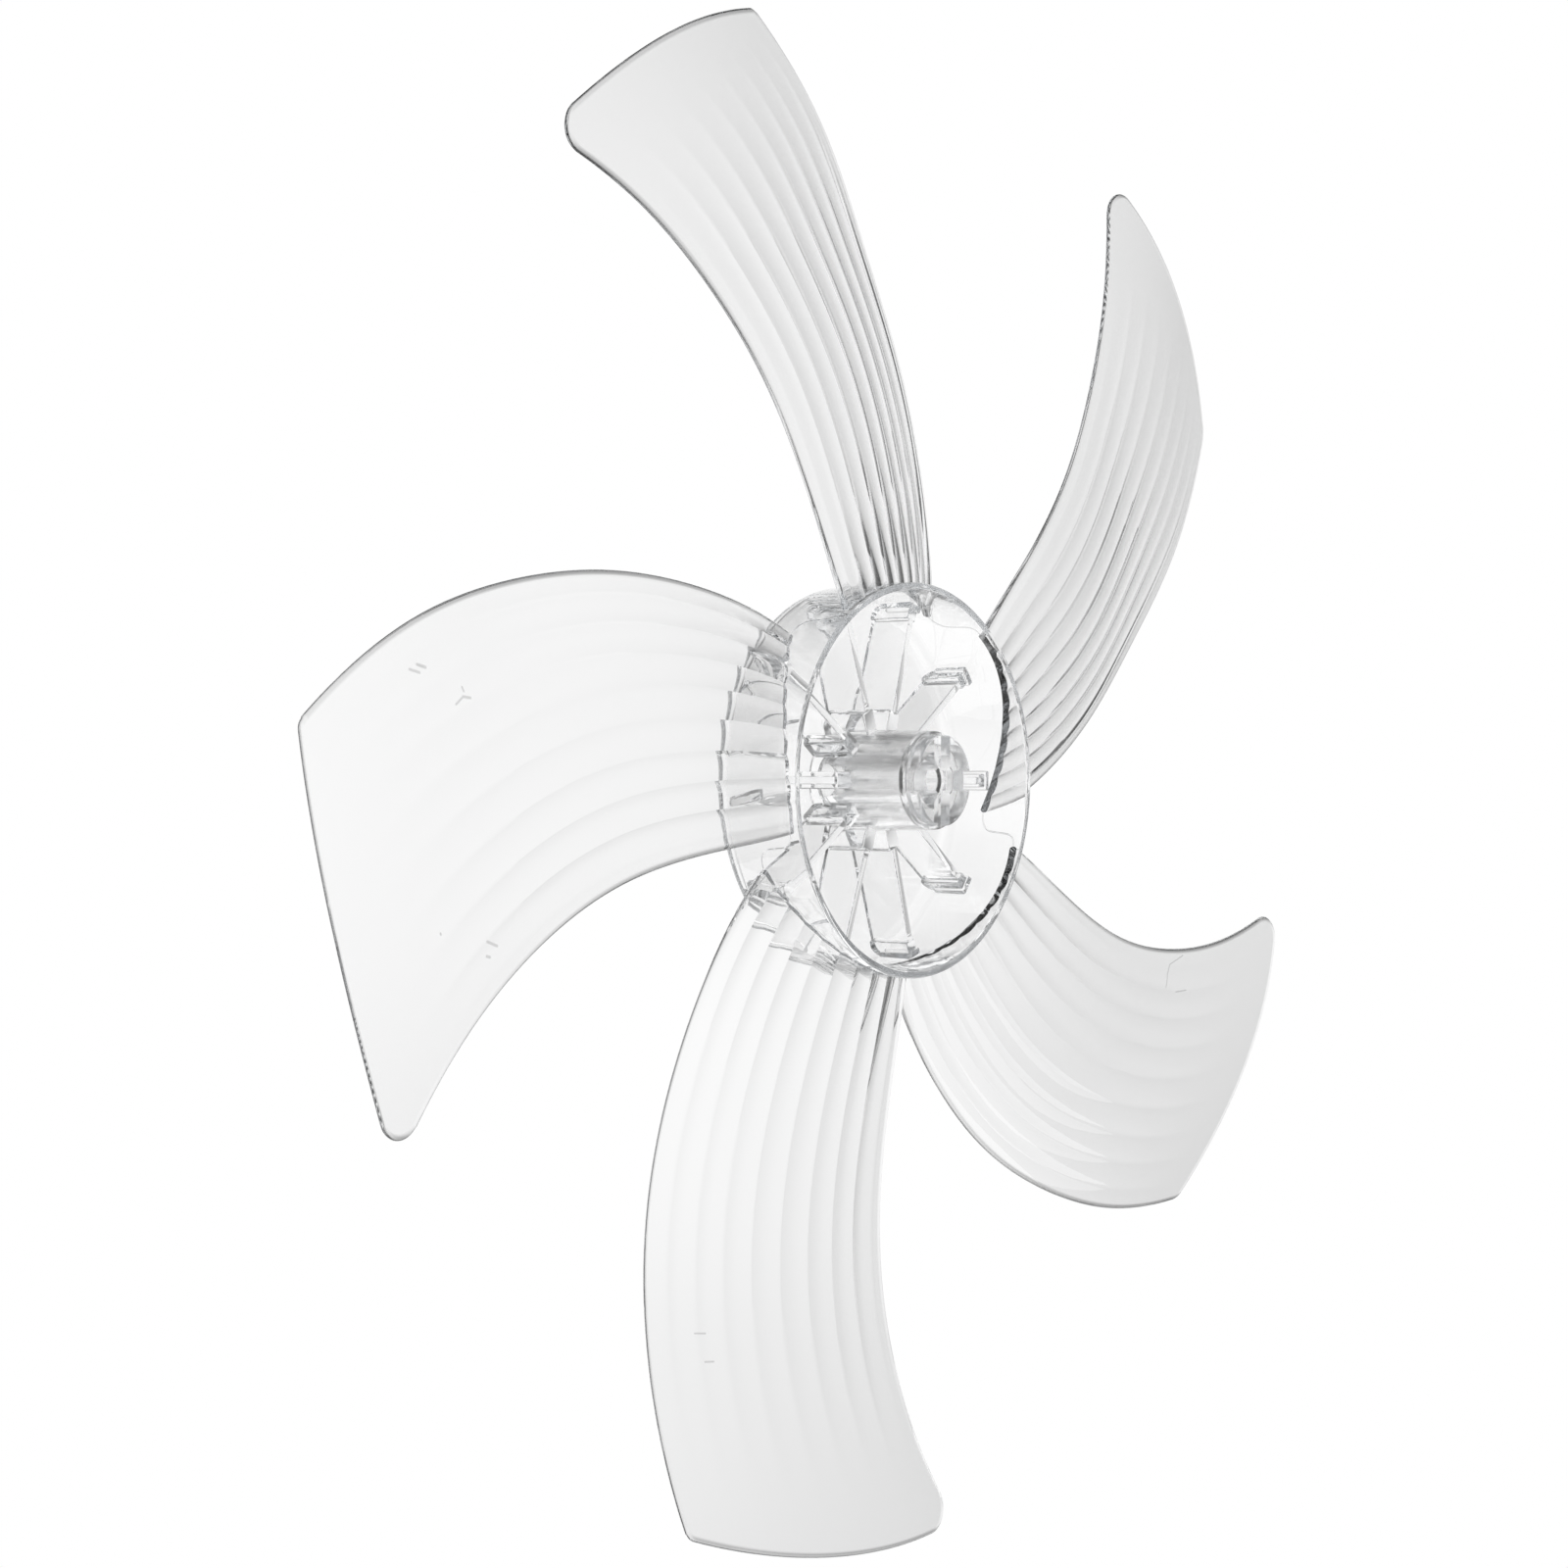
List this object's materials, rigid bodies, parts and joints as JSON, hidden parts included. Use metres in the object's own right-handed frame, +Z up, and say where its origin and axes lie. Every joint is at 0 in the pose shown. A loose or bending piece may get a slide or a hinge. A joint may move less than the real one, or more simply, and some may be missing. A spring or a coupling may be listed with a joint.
{
  "type": "pedestal fan blade",
  "caption": "Clear moulded rotor for a pedestal fan: swept fluted blades around an open cup hub with ten ribs and a central boss that slips on a motor shaft and its cross pin.",
  "frame": {"origin": "on the shaft axis, in the plane of the cup hub's open rear rim", "axes": "+Y along the shaft axis toward the open motor side, +Z up, X across"},
  "size_m": [0.3815, 0.0346, 0.3809],
  "materials": {
    "clear_plastic": "clear, glossy, colourless moulded plastic"
  },
  "bodies": {
    "root": {"fan_blade": "clear_plastic"}
  },
  "joints": []
}
